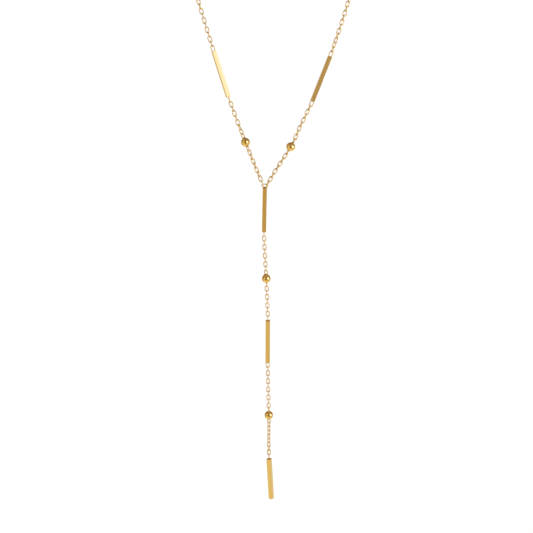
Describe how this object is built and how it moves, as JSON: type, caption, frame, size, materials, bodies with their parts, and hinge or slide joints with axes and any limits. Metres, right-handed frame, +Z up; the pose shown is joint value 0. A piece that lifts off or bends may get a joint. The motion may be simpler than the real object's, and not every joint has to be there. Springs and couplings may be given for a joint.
{
  "type": "y necklace",
  "caption": "Long Y necklace: a fine cable chain loop set with slim square bars and round beads, and a straight drop that hangs from the V.",
  "frame": {"origin": "the middle of the clasp, where the necklace lies on the back of the neck", "axes": "+Z up, the drop hangs along -Z; -Y to the front, where the V and the drop are; +X to the right in the picture"},
  "size_m": [0.0946, 0.1078, 0.2556],
  "materials": {
    "gold_bars": "gold plate, polished with fine lengthwise lines",
    "gold_beads": "gold plate, mirror polished",
    "gold_chain": "gold plate, polished wire",
    "gold_clasp": "gold plate, polished"
  },
  "bodies": {
    "neck_loop": {"bar_left": "gold_bars", "bar_right": "gold_bars", "bead_left": "gold_beads", "bead_right": "gold_beads", "left_low_chain": "gold_chain", "left_mid_chain": "gold_chain", "left_upper_chain": "gold_chain", "left_back_chain": "gold_chain", "left_nape_chain": "gold_chain", "right_low_chain": "gold_chain", "right_mid_chain": "gold_chain", "right_upper_chain": "gold_chain", "right_back_chain": "gold_chain", "right_nape_chain": "gold_chain", "clasp": "gold_clasp"},
    "drop": {"bar_centre": "gold_bars", "bar_middle": "gold_bars", "bead_upper": "gold_beads", "bead_lower": "gold_beads", "drop_chain_1": "gold_chain", "drop_chain_2": "gold_chain", "drop_chain_3": "gold_chain", "drop_chain_4": "gold_chain"},
    "end_bar": {"bar_end": "gold_bars"}
  },
  "joints": [
    {"name": "drop_swing", "type": "hinge", "parent": "neck_loop", "child": "drop", "pos_m": [-0.004, -0.105, -0.12955], "axis": [1, 0, 0], "range_deg": [-40, 30]},
    {"name": "end_bar_swing", "type": "hinge", "parent": "drop", "child": "end_bar", "pos_m": [-0.00451, -0.105, -0.23196], "axis": [1, 0, 0], "range_deg": [-60, 60]}
  ]
}
